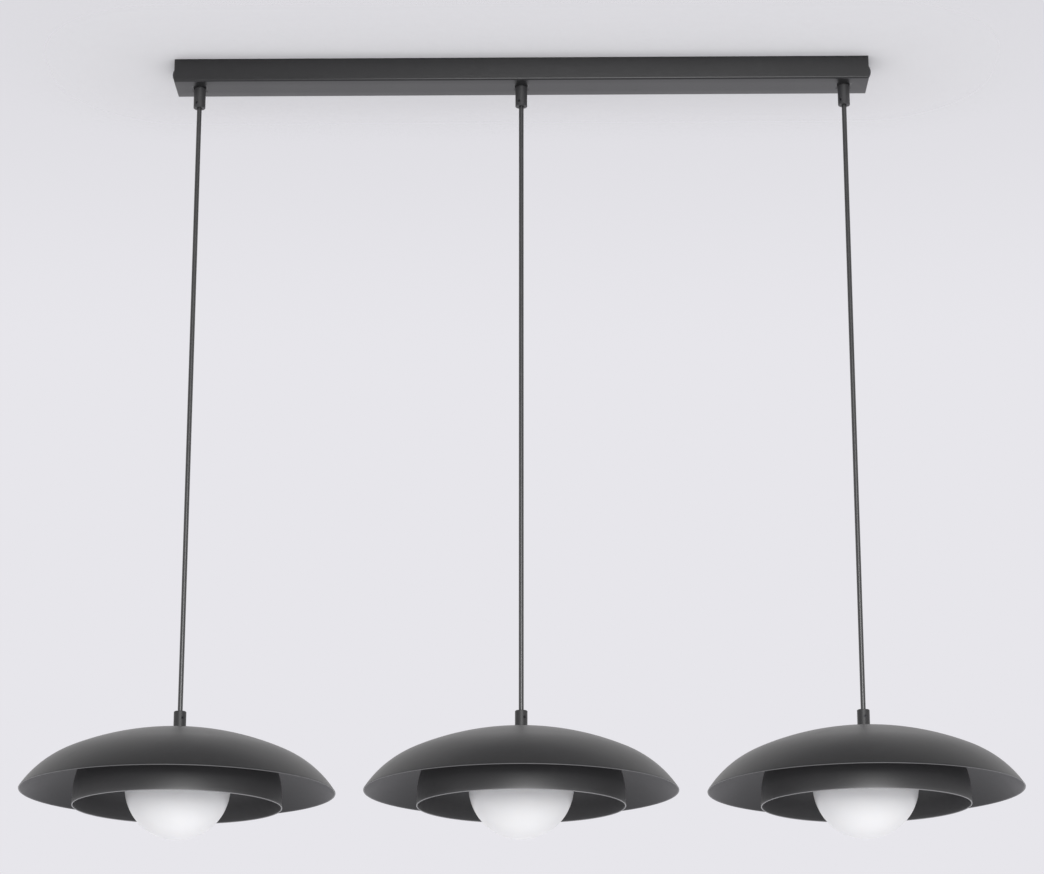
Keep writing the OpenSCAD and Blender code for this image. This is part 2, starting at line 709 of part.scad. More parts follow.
// Two springy contact strips, turned in under the end of the cord
module lamp_contacts(side) {
    inner_x = pin_pitch / 2 + pin_thickness / 2 + play;
    low = collar_top_z + 1.5;
    color(brass) on_pendant(side) for (turn = [0, 180]) rotate([0, 0, turn]) {
        translate([inner_x, -contact_width / 2, low])
            cube([contact_thickness, contact_width, cord_end_z - low]);
        translate([0.8, -contact_width / 2, cord_end_z - contact_thickness])
            cube([inner_x + contact_thickness - 0.8, contact_width, contact_thickness]);
    }
}
// Capsule lamp with two flat pins
module lamp(side) {
    capsule_top_z = collar_top_z - collar_height;
    straight = lamp_length - capsule_radius;
    pin_top_z = chamber_bottom_z - 0.5;
    color(opal_white) on_pendant(side) {
        translate([0, 0, capsule_top_z]) cylinder(r = collar_radius, h = collar_height);
        translate([0, 0, capsule_top_z - straight]) rotate_extrude() {
            intersection() {
                circle(r = capsule_radius);
                translate([0, -capsule_radius]) square([capsule_radius, capsule_radius]);
            }
            square([capsule_radius, straight]);
        }
        for (end = [-1, 1]) {
            translate([end * pin_pitch / 2 - pin_thickness / 2, -pin_width / 2, collar_top_z - cut])
                cube([pin_thickness, pin_width, pin_top_z - collar_top_z + cut]);
        }
    }
}
// Blown opal ball with a short neck and three lugs
module globe(side) {
    neck_top = neck_top_z - globe_z;
    lug_inside = neck_radius - glass_wall / 2;
    color(opal_white) on_pendant(side) {
        translate([0, 0, globe_z]) rotate_extrude() half_band(-globe_radius, neck_top, globe_radius)
            difference() {
                union() {
                    circle(r = globe_radius);
                    square([neck_radius, neck_top]);
                }
                circle(r = globe_radius - glass_wall);
                square([neck_radius - glass_wall, neck_top + cut]);
            }
        for (k = [0:lug_count - 1]) rotate([0, 0, 360 * k / lug_count])
            translate([0, 0, tab_top_z + play])
                ring_sector(lug_inside, neck_radius + lug_depth, lug_turn, lug_height);
    }
}

canopy_housing();
ceiling_bracket();
end_screws();
terminal_block();
terminal_screws();
earth_screw();
earth_lead();
live_leads();
neutral_leads();
canopy_lock_nuts();
canopy_grub_screws();
canopy_grip(left);  // left_canopy_grip
canopy_grip(middle);  // middle_canopy_grip
canopy_grip(right);  // right_canopy_grip
cord_tail(left);  // left_cord_tail
cord_tail(middle);  // middle_cord_tail
cord_tail(right);  // right_cord_tail
cord_bend(left);  // left_cord_bend
cord_bend(middle);  // middle_cord_bend
cord_bend(right);  // right_cord_bend
cord(left);  // left_cord
cord(middle);  // middle_cord
cord(right);  // right_cord
shade_grip(left);  // left_shade_grip
shade_grip(middle);  // middle_shade_grip
shade_grip(right);  // right_shade_grip
shade_grub_screw(left);  // left_shade_grub_screw
shade_grub_screw(middle);  // middle_shade_grub_screw
shade_grub_screw(right);  // right_shade_grub_screw
nipple(left);  // left_nipple
nipple(middle);  // middle_nipple
nipple(right);  // right_nipple
outer_shade(left);  // left_outer_shade
outer_shade(middle);  // middle_outer_shade
outer_shade(right);  // right_outer_shade
spacer(left);  // left_spacer
spacer(middle);  // middle_spacer
spacer(right);  // right_spacer
inner_shade(left);  // left_inner_shade
inner_shade(middle);  // middle_inner_shade
inner_shade(right);  // right_inner_shade
holder_cup(left);  // left_holder_cup
holder_cup(middle);  // middle_holder_cup
holder_cup(right);  // right_holder_cup
lock_nut(left);  // left_lock_nut
lock_nut(middle);  // middle_lock_nut
lock_nut(right);  // right_lock_nut
lampholder(left);  // left_lampholder
lampholder(middle);  // middle_lampholder
lampholder(right);  // right_lampholder
lamp_contacts(left);  // left_lamp_contacts
lamp_contacts(middle);  // middle_lamp_contacts
lamp_contacts(right);  // right_lamp_contacts
lamp(left);  // left_lamp
lamp(middle);  // middle_lamp
lamp(right);  // right_lamp
globe(left);  // left_globe
globe(middle);  // middle_globe
globe(right);  // right_globe
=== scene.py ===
# %% [markdown]
# # A black ceiling light with three pendants
# A long slim canopy carries three straight cords. Each cord holds a wide spun dome with a deeper
# bowl inside it, and an opal glass ball hangs in the bowl. The solids come from the CAD model and
# stay where they are. This lesson gives them their looks: spun sheet metal with rounded rims,
# powder coat, glass, cords, light and a camera.

import bmesh
import bpy
import math
from mathutils import Matrix, Vector


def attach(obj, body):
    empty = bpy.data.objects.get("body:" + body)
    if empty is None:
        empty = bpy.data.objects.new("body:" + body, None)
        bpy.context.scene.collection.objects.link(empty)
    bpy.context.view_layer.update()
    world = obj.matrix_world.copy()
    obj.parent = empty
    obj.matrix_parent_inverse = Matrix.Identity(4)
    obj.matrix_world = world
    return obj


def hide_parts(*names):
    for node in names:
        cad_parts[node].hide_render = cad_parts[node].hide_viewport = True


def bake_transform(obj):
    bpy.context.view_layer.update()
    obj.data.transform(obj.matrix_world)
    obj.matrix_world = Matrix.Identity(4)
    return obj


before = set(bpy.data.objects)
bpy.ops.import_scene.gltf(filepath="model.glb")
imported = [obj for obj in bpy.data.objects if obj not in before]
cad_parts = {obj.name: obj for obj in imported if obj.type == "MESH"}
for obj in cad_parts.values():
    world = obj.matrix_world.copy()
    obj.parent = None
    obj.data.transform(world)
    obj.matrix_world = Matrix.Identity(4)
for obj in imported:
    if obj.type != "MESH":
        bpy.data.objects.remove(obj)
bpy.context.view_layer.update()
mm = 0.001
PENDANTS = {"left": -326 * mm, "middle": 0.0, "right": 326 * mm}

# %% [markdown]
# ## Camera
# The photographer stood a little over a metre below the ceiling and nearly three metres back, with
# a long lens tilted up by sixteen degrees. These numbers came from fitting a camera to the
# canopy's corners, the cords and the rims, so shapes line up without any moving about.

# %% Camera at the photograph's viewpoint
PHOTO_WIDTH, FOCAL_PIXELS = 1044, 3050
SENSOR = 36
TILT, TURN = 0.2844, 0.0130
camera = bpy.data.objects.new("camera", bpy.data.cameras.new("camera"))
bpy.context.scene.collection.objects.link(camera)
camera.location = (38 * mm, -2867 * mm, -1231 * mm)
camera.rotation_euler = (math.radians(90) + TILT, 0, TURN)
camera.data.sensor_width = SENSOR
camera.data.lens = SENSOR * FOCAL_PIXELS / PHOTO_WIDTH
camera.data.clip_end = 60
bpy.context.scene.camera = camera
print("lens in mm:", round(camera.data.lens, 1))

# %% [markdown]
# ## Shader sums in plain Python
# A material is a graph of nodes, and a graph is slow to read in code. So one small class wraps an
# output socket: adding or multiplying two of them adds the Math node that does it. A second class
# makes every other node, for materials and for the world alike, and a third holds a material with
# its Principled shader.

# %% Wires
class Wire:
    """An output socket that can be used in sums."""

    def __init__(self, graph, socket):
        self.graph, self.socket = graph, socket

    def math(self, operation, *values):
        return self.graph.add("ShaderNodeMath", {"operation": operation}, dict(enumerate(values)))

    def __add__(self, other):
        return self.math("ADD", self, other)

    def __radd__(self, other):
        return self.math("ADD", other, self)

    def __sub__(self, other):
        return self.math("SUBTRACT", self, other)

    def __rsub__(self, other):
        return self.math("SUBTRACT", other, self)

    def __mul__(self, other):
        return self.math("MULTIPLY", self, other)

    def __rmul__(self, other):
        return self.math("MULTIPLY", other, self)

    def over(self, low, high):
        """0 below low and 1 above high, with a soft step between them."""
        return self.graph.add(
            "ShaderNodeMapRange",
            {"interpolation_type": "SMOOTHSTEP"},
            {"Value": self, "From Min": low, "From Max": high},
        )

    def along(self, axis):
        """One axis of a vector."""
        return self.graph.add("ShaderNodeSeparateXYZ", None, {0: self}, axis)

    def size(self):
        return self.math("ABSOLUTE", self)

    def or_more(self, other):
        """The larger of two values."""
        return self.math("MAXIMUM", self, other)

    def pick(self, chosen, other):
        """The first value where this is 1, and the second where it is 0."""
        return other + self * (chosen - other)


# %% Graphs and finishes
class Graph:
    """A node tree that starts empty. One method makes each node in it."""

    def __init__(self, tree):
        self.nodes, self.links = tree.nodes, tree.links
        self.nodes.clear()

    def plug(self, socket, value):
        """Links a wire to a socket, or writes a plain value on it."""
        if isinstance(value, Wire):
            self.links.new(value.socket, socket)
        else:
            socket.default_value = value

    def add(self, kind, settings=None, sockets=None, output=0):
        """Makes a node, gives it its settings and sockets, and returns one of its outputs."""
        node = self.nodes.new(kind)
        for name, value in (settings or {}).items():
            setattr(node, name, value)
        for name, value in (sockets or {}).items():
            self.plug(node.inputs[name], value)
        return Wire(self, node.outputs[output]) if node.outputs else None

    def blend(self, factor, first, second):
        """A colour between two. The Mix node takes them at 6 and 7 and gives its own at 2."""
        sockets = {0: factor, 6: (*first, 1) if isinstance(first, tuple) else first,
                   7: (*second, 1) if isinstance(second, tuple) else second}
        return self.add("ShaderNodeMix", {"data_type": "RGBA"}, sockets, 2)


class Finish(Graph):
    """A material with a Principled shader. Values that are the same all over go in as sockets."""

    def __init__(self, name, sockets):
        self.material = bpy.data.materials.new(name)
        self.material.use_nodes = True
        super().__init__(self.material.node_tree)
        surface = self.add("ShaderNodeBsdfPrincipled")
        self.add("ShaderNodeOutputMaterial", None, {"Surface": surface})
        self.shader = surface.socket.node
        for socket, value in sockets.items():
            self.plug(self.shader.inputs[socket], value)
        self.place = self.add("ShaderNodeTexCoord", output="Object")

    def give(self, **sockets):
        """Feeds the shader's sockets, with an underscore for each space in a name."""
        for name, value in sockets.items():
            self.plug(self.shader.inputs[name.replace("_", " ")], value)

    def stretched(self, scale):
        """The place, scaled by an amount for each axis, so that a pattern runs long on one."""
        return self.add("ShaderNodeMapping", None, {"Vector": self.place, "Scale": scale})

    def cloud(self, per_metre, detail=3.0, roughness=0.5, place=None):
        """Noise with so many lumps to the metre."""
        sockets = {"Vector": place or self.place, "Scale": per_metre,
                   "Detail": detail, "Roughness": roughness}
        return self.add("ShaderNodeTexNoise", None, sockets)

    def bump(self, height, depth):
        """Raises the surface by height times depth, in metres."""
        self.give(Normal=self.add("ShaderNodeBump", None, {"Height": height, "Distance": depth}))


# %% [markdown]
# ## Powder coat
# The light's metal has a satin black powder coat. Close to, such a coat isn't flat: the melted
# powder leaves low soft waves about two millimetres long, with a finer grain on them, and its gloss
# varies a little where hands and dust have been. The colour hardly changes, so nearly all of the
# detail is in the roughness and the bump. The last half millimetre above a shade's rim is painted
# paler: a painted highlight that draws the fine line of light along the rim.

# %% Powder coat for canopy, shades and grips
DOME_RIM_Z, BOWL_RIM_Z = -742.97 * mm, -757.2 * mm
# Heights above the rim where the painted highlight is full and where it has faded out.
RIM_HIGHLIGHT_FULL_TO, RIM_HIGHLIGHT_GONE_FROM = 0.3 * mm, 0.9 * mm
COAT_DEPTH = 0.04 * mm


def powder_coat(name, colour, roughness, waves=1.0, gloss=0.5, rim_z=None, rim_highlight_tone=0.1):
    finish = Finish(name, {"Specular IOR Level": gloss})
    waviness = finish.cloud(430, 2.0)
    grain = finish.cloud(2600, 2.0, 0.6)
    handling = finish.cloud(14, 4.0, 0.55)
    dust = finish.cloud(90, 3.0, 0.65).over(0.52, 0.78)
    worn = tuple(1.25 * c + 0.004 for c in colour)
    tone = finish.blend(handling.over(0.3, 0.75), colour, tuple(0.88 * c for c in colour))
    # Painted highlight: a pale band painted over the last half millimetre above the rim height
    # stands in for light caught by the rounded rim.
    if rim_z is not None:
        rim = 1 - finish.place.along("Z").over(rim_z + RIM_HIGHLIGHT_FULL_TO, rim_z + RIM_HIGHLIGHT_GONE_FROM)
        tone = finish.blend(rim, tone, (rim_highlight_tone, rim_highlight_tone, 1.02 * rim_highlight_tone))
    finish.give(Base_Color=finish.blend(dust * 0.3, tone, worn))
    finish.give(Roughness=roughness - 0.05 + 0.08 * handling + 0.03 * dust + 0.02 * grain)
    finish.bump(waves * waviness + 0.3 * grain, COAT_DEPTH)
    return finish.material


# The shade coat is the plain powder coat. The bowl and grip coats are painted lighter and the
# canopy coat darker: lit and shaded copies of the one coat, tuned to how light falls on each part.
shade_coat = powder_coat("shade_powder_coat", (0.019, 0.019, 0.0196), 0.40, rim_z=DOME_RIM_Z)
bowl_coat_painted_lighter = powder_coat("bowl_powder_coat_painted_lighter", (0.030, 0.030, 0.0306), 0.49, gloss=1.0,
                        rim_z=BOWL_RIM_Z, rim_highlight_tone=0.21)
canopy_coat_painted_darker = powder_coat("canopy_powder_coat_painted_darker", (0.007, 0.007, 0.0075), 0.34)
grip_coat_painted_lighter = powder_coat("grip_powder_coat_painted_lighter", (0.030, 0.030, 0.0315), 0.46, waves=0.6)
print("powder coats made:", [coat.name for coat in (shade_coat, bowl_coat_painted_lighter, canopy_coat_painted_darker, grip_coat_painted_lighter)])


# %% [markdown]
# ## Cord sheath
# The cord has a smooth soft plastic sheath with faint lines along it from the extruder. Noise that
# is stretched along the cord draws them. A fibre or a braid would need a weave, but this sheath is
# plain and glossy enough for a line of light, so a dark colour with little roughness is all. The
# thin leads inside have the same sheath in their own colours.

# %% Cord sheath
SHEATH_DEPTH = 0.001 * mm


def sheath(name, colour, roughness=0.42, gloss=0.5):
    finish = Finish(name, {"Specular IOR Level": gloss})
    lines = finish.cloud(900, 2.0, place=finish.stretched((1, 1, 0.02)))
    smudges = finish.cloud(30, 4.0)
    rubbed = tuple(1.3 * c for c in colour)
    finish.give(Base_Color=finish.blend(smudges.over(0.35, 0.8), colour, rubbed))
    finish.give(Roughness=roughness + 0.12 * smudges + 0.05 * lines)
    finish.bump(lines + 0.3 * finish.cloud(3000), SHEATH_DEPTH)
    return finish.material


cord_black = sheath("cord_sheath", (0.010, 0.010, 0.0105), roughness=0.24, gloss=0.9)
live_brown = sheath("live_insulation", (0.16, 0.065, 0.025))
neutral_blue = sheath("neutral_insulation", (0.02, 0.09, 0.36))
print("sheaths made:", cord_black.name, live_brown.name, neutral_blue.name)


# %% [markdown]
# ## Opal glass
# Opal glass is white through and through, so light wanders in it before it comes out. A clear shell
# over a white one would do the same, but subsurface scattering in one shell is simpler and exports
# well. The outside is etched to a soft gloss with hardly any grain, and a few seeds stand under it.

# %% Opal glass
SEED_DEPTH = 0.02 * mm


def opal_glass(name):
    finish = Finish(name, {"Subsurface Weight": 0.35, "Subsurface Radius": (0.012, 0.011, 0.010),
                           "Subsurface Scale": 0.6, "IOR": 1.48, "Coat Roughness": 0.2})
    batch = finish.cloud(9, 3.0)
    seeds = finish.cloud(420, 2.0, 0.4)
    etched = finish.cloud(2200, 2.0)
    white, cream = (0.86, 0.86, 0.85), (0.81, 0.81, 0.80)
    finish.give(Base_Color=finish.blend(batch.over(0.3, 0.7), white, cream))
    finish.give(Roughness=0.28 + 0.1 * batch + 0.05 * etched, Coat_Weight=0.15 + 0.1 * batch)
    finish.bump(0.6 * seeds + 0.25 * etched, SEED_DEPTH)
    return finish.material


ball_white = opal_glass("opal_glass")
print("glass made:", ball_white.name)


# %% [markdown]
# ## Metals and ceramics
# The hidden pieces get zinc, brass, black oxide, fired clay and moulded plastic, each with the
# marks of how it was made. Plated metal shows the crystals of its zinc, which Voronoi cells stand
# for, and the lines of the strip that it was cut from. Fired clay is dull and specked.

# %% Plated metal
PLATING_DEPTH = 0.02 * mm


def plated(name, colour, roughness, spangle):
    finish = Finish(name, {"Metallic": 1.0})
    cells = {"Vector": finish.place, "Scale": spangle}
    patches = finish.add("ShaderNodeTexVoronoi", None, cells, "Color")
    grey = finish.add("ShaderNodeRGBToBW", None, {0: patches})
    brushed = finish.cloud(1500, 3.0, 0.6, finish.stretched((0.06, 1, 1)))
    stain = finish.cloud(60, 4.0).over(0.45, 0.8)
    dark = tuple(0.72 * c for c in colour)
    finish.give(Base_Color=finish.blend(0.35 * grey + 0.45 * stain, colour, dark))
    finish.give(Roughness=roughness + 0.12 * grey + 0.1 * brushed + 0.1 * stain)
    finish.bump(brushed + 0.4 * grey, PLATING_DEPTH)
    return finish.material


zinc = plated("zinc_plate", (0.62, 0.63, 0.65), 0.26, 160)
brass = plated("brass", (0.80, 0.58, 0.27), 0.24, 300)
black_steel = plated("black_oxide", (0.055, 0.055, 0.06), 0.38, 240)
print("metals made:", zinc.name, brass.name, black_steel.name)

# %% Fired clay and moulded plastic
CLAY_DEPTH = 0.04 * mm


def fired(name, colour, roughness, grain_per_metre):
    finish = Finish(name, {"Specular IOR Level": 0.45})
    grain = finish.cloud(grain_per_metre, 4.0, 0.7)
    specks = finish.cloud(1400, 1.0).over(0.66, 0.74)
    dark = tuple(0.78 * c for c in colour)
    finish.give(Base_Color=finish.blend(0.6 * specks + 0.25 * grain, colour, dark))
    finish.give(Roughness=roughness + 0.15 * grain)
    finish.bump(grain, CLAY_DEPTH)
    return finish.material


clay = fired("fired_ceramic", (0.80, 0.77, 0.70), 0.5, 700)
block_white = fired("moulded_plastic", (0.78, 0.78, 0.75), 0.3, 260)
capsule_white = fired("frosted_capsule", (0.86, 0.85, 0.80), 0.22, 1100)
print("fired and moulded finishes made:", clay.name, block_white.name, capsule_white.name)

# %% [markdown]
# ## Striped insulation
# An earth lead is green with a yellow stripe that winds round it. A wave texture that is turned out
# of line with the lead makes slanting bands, which read as that winding stripe at this size.

# %% Striped insulation of the earth lead
GREEN, YELLOW = (0.04, 0.25, 0.03), (0.62, 0.52, 0.02)
STRIPE_TURN, STRIPE_DEPTH = (0.5, 0.4, 0.9), 0.03 * mm
stripes = Finish("earth_insulation", {"Specular IOR Level": 0.5})
slanted = stripes.add("ShaderNodeMapping", None, {"Vector": stripes.place, "Rotation": STRIPE_TURN})
bands = {"Vector": slanted, "Scale": 60.0, "Distortion": 0.6}
stripe = stripes.add("ShaderNodeTexWave", None, bands, output=1)
stripes.give(Base_Color=stripes.blend(stripe.over(0.45, 0.55), GREEN, YELLOW))
stripes.give(Roughness=0.4 + 0.1 * stripes.cloud(400))
stripes.bump(stripes.cloud(2500), STRIPE_DEPTH)
earth_stripes = stripes.material
print("earth insulation made:", earth_stripes.name)


# %% [markdown]
# ## Tools for turned pieces
# A spun shade is a profile swept once round an axis. The profile itself is made of arcs, and an arc
# is one vertex swept about the arc's centre, so the spin operator draws the profile as well as the
# body. Angles are counted from straight up towards the outside, as they are in the CAD model.

# %% Drawing a profile with spins
TOUCHING = 1e-7


def from_up(degrees):
    """Unit vector at an angle from straight up, towards the outside of a profile."""
    return Vector((math.sin(math.radians(degrees)), 0, math.cos(math.radians(degrees))))


def arc(bm, end, centre, degrees, steps):
    """Sweeps a profile's last vertex about a centre and returns the new last vertex."""
    swept = bmesh.ops.spin(bm, geom=[end], cent=centre, axis=(0, 1, 0), angle=math.radians(degrees),
                           steps=steps, use_duplicate=False)
    return [g for g in swept["geom_last"] if isinstance(g, bmesh.types.BMVert)][0]


def line(bm, end, radius, height, steps=1):
    """Runs the profile straight on to a radius and a height, in metres."""
    start, goal = end.co.copy(), Vector((radius, 0, height))
    for i in range(1, steps + 1):
        new = bmesh.ops.extrude_vert_indiv(bm, verts=[end])["verts"][0]
        new.co = start.lerp(goal, i / steps)
        end = new
    return end


def turn(bm, segments):
    """Spins the whole profile once round the piece's own axis and closes it."""
    bmesh.ops.spin(bm, geom=bm.verts[:] + bm.edges[:], cent=(0, 0, 0), axis=(0, 0, 1),
                   angle=math.tau, steps=segments, use_merge=True, use_duplicate=False)
    bmesh.ops.remove_doubles(bm, verts=bm.verts, dist=TOUCHING)
    bmesh.ops.recalc_face_normals(bm, faces=bm.faces)


# %% From a bmesh to a piece
SHARP_ANGLE = math.radians(35)


def make_piece(bm, name, material, x=0.0):
    """Turns a bmesh into an object whose place is in its mesh."""
    bmesh.ops.translate(bm, verts=bm.verts, vec=(x, 0, 0))
    mesh = bpy.data.meshes.new(name)
    bm.to_mesh(mesh)
    bm.free()
    mesh.shade_smooth()
    mesh.set_sharp_from_angle(angle=SHARP_ANGLE)
    mesh.materials.append(material)
    piece = bpy.data.objects.new(name, mesh)
    bpy.context.scene.collection.objects.link(piece)
    return piece


# %% [markdown]
# ## Cords
# Each cord runs from the terminal block along the canopy, bends over into its grip, hangs straight
# for 620 mm and ends in the lampholder. It swings front to back at the mouth of the grip and
# sideways 12 mm below. A mesh can bend across one joint only, so each cord is two pieces that meet
# between the two bends. The points of a route lie close together only where it bends.

# %% Cord routes, as in the CAD model
CORD_RADIUS = 2.4 * mm
MOUTH_Z, MEET_Z = -45 * mm, -51 * mm
TAIL_Z, TAIL_BEND = -6.5 * mm, 10 * mm
BEND_TOP_Z, BEND_LOW_Z = -40 * mm, -68 * mm
CORD_END_Z = -699.5 * mm
TAIL_END = {"left": (52 * mm, 14 * mm), "middle": (52 * mm, -4 * mm), "right": (108 * mm, -13 * mm)}
QUARTER_STEPS = 9
BEND_STEP, GRIP_STEP, CHANNEL_STEP, DROP_STEP = 1 * mm, 6 * mm, 14 * mm, 12 * mm


def steps_between(start, end, step):
    """Points from start up to but not including end, no more than a step apart."""
    count = max(1, math.ceil((end - start).length / step))
    return [start.lerp(end, i / count) for i in range(count)]


def upper_route(side):
    """Up through the grip, over in a quarter turn and along the canopy."""
    foot, block_end = Vector((PENDANTS[side], 0, 0)), Vector((*TAIL_END[side], 0))
    along, up = (block_end - foot).normalized(), Vector((0, 0, 1))
    meet, bend_top = foot + MEET_Z * up, foot + BEND_TOP_Z * up
    quarter_foot = foot + (TAIL_Z - TAIL_BEND) * up
    points = steps_between(meet, bend_top, BEND_STEP)
    points += steps_between(bend_top, quarter_foot, GRIP_STEP)
    for i in range(QUARTER_STEPS):
        turned = math.radians(i * 90 / QUARTER_STEPS)
        points.append(quarter_foot + along * TAIL_BEND * (1 - math.cos(turned))
                      + TAIL_BEND * math.sin(turned) * up)
    run_start, run_end = foot + along * TAIL_BEND + TAIL_Z * up, block_end + TAIL_Z * up
    return points + steps_between(run_start, run_end, CHANNEL_STEP) + [run_end]


def lower_route(side):
    """Straight down from the meeting point into the lampholder."""
    stops = [Vector((PENDANTS[side], 0, z)) for z in (MEET_Z, BEND_LOW_Z, CORD_END_Z)]
    bend = steps_between(*stops[:2], BEND_STEP)
    return bend + steps_between(*stops[1:], DROP_STEP) + [stops[2]]


# %% [markdown]
# ## Tubes along the routes
# A curve with a round bevel is the quickest way from a list of points to a tube of even thickness
# with closed ends. It is then turned into a mesh, because a mesh can bend across a joint.

# %% Tubes along the routes
def tube(name, points, radius, material):
    """A closed tube that is a curve with a bevel, turned into a mesh."""
    curve = bpy.data.curves.new(name, "CURVE")
    curve.dimensions = "3D"
    curve.bevel_depth, curve.bevel_resolution, curve.use_fill_caps = radius, 6, True
    spline = curve.splines.new("POLY")
    spline.points.add(len(points) - 1)
    for target, point in zip(spline.points, points):
        target.co = (*point, 1)
    drawn = bpy.data.objects.new(name + "_line", curve)
    bpy.context.scene.collection.objects.link(drawn)
    evaluated = drawn.evaluated_get(bpy.context.evaluated_depsgraph_get())
    mesh = bpy.data.meshes.new_from_object(evaluated)
    bpy.data.objects.remove(drawn)
    mesh.name = name
    mesh.shade_smooth()
    mesh.set_sharp_from_angle(angle=SHARP_ANGLE)
    mesh.materials.clear()
    mesh.materials.append(material)
    piece = bpy.data.objects.new(name, mesh)
    bpy.context.scene.collection.objects.link(piece)
    return piece


def length_of(points):
    return sum((b - a).length for a, b in zip(points, points[1:]))


# %% Upper and lower runs
for side, x in PENDANTS.items():
    upper, lower = upper_route(side), lower_route(side)
    flex = tube(side + "_upper_flex", upper, CORD_RADIUS, cord_black)
    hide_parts(side + "_cord_tail", side + "_cord_bend")
    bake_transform(flex)
    length_of(upper)
    drop = tube(side + "_flex", lower, CORD_RADIUS, cord_black)
    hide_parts(side + "_cord")
    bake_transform(drop)
    length_of(lower)
    print(side, "cord in mm:", round(length_of(upper) / mm), "+", round(length_of(lower) / mm))

# %% [markdown]
# ## Domes
# A dome is spun over a former from one millimetre steel: a shallow crown that turns into a tighter
# shoulder near the rim. Its rim is rounded, and that half round catches a little light, while a
# painted highlight in the coat draws most of the thin line of light along it. The arcs below are
# those of the CAD model, so the piece lies exactly in its solid.

# %% One dome
SEAT_Z = -684 * mm
HOLE = 5.15 * mm
WALL = 1 * mm
RIM_ROUND = WALL / 2
DOME_SIDES = 288


def dome_profile(bm):
    """Outside from the hole to the rim, round the rim, and back along the inside."""
    crown, shoulder, seat, rim = 264 * mm, 97 * mm, 14 * mm, 150 * mm
    slope = math.radians(57.4)
    seat_steps, crown_steps, shoulder_steps, rim_steps, inner_seat_steps = 3, 40, 26, 8, 2
    join = math.degrees(math.asin((rim - shoulder * math.sin(slope)) / (crown - shoulder)))
    crown_at = Vector((0, 0, SEAT_Z - math.sqrt(crown**2 - seat**2)))
    shoulder_at = crown_at + (crown - shoulder) * from_up(join)
    rim_z = shoulder_at.z + shoulder * math.cos(slope)
    middle = shoulder - RIM_ROUND
    rim_turn = math.degrees(math.acos((rim_z + RIM_ROUND - shoulder_at.z) / middle))
    seat_turn = math.degrees(math.asin(seat / crown))
    end = bm.verts.new((HOLE, 0, SEAT_Z))
    first = end
    end = line(bm, end, seat, SEAT_Z, seat_steps)
    end = arc(bm, end, crown_at, join - seat_turn, crown_steps)
    end = arc(bm, end, shoulder_at, rim_turn - join, shoulder_steps)
    end = arc(bm, end, shoulder_at + middle * from_up(rim_turn), 180, rim_steps)
    end = arc(bm, end, shoulder_at, join - rim_turn, shoulder_steps)
    inside_turn = math.degrees(math.acos((SEAT_Z - WALL - crown_at.z) / (crown - WALL)))
    end = arc(bm, end, crown_at, inside_turn - join, crown_steps)
    end = line(bm, end, HOLE, SEAT_Z - WALL, inner_seat_steps)
    bm.edges.new((end, first))
    return rim_z


for side, x in PENDANTS.items():
    bm = bmesh.new()
    rim_z = dome_profile(bm)
    turn(bm, DOME_SIDES)
    dome = make_piece(bm, side + "_dome", shade_coat, x)
    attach(dome, side + "_pendant")
    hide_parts(side + "_outer_shade")
    print(dome.name, "rim at", round(rim_z / mm, 1), "mm, faces:", len(dome.data.polygons))

# %% [markdown]
# ## Bowls
# The bowl follows the dome's crown at five millimetres, bends down through a tight knuckle into a
# rounded side and ends in a nearly straight wall. Four arcs and one straight line, each tangent to
# the next, give it the soft look of a spun form.

# %% One bowl
BOWL_SEAT_Z = -690 * mm
BOWL_SIDES = 240


def meeting(a, ra, b, rb):
    """Outer meeting point of two circles in the profile's plane."""
    gap = b - a
    along = (ra**2 - rb**2 + gap.length**2) / (2 * gap.length)
    aside = math.sqrt(ra**2 - along**2)
    towards_b = gap.normalized()
    outwards = Vector((towards_b.z, 0, -towards_b.x)) * (1 if towards_b.z > 0 else -1)
    return a + along * towards_b + aside * outwards


def turn_of(direction):
    """Angle of a direction from straight up, in degrees."""
    return math.degrees(math.atan2(direction.x, direction.z))


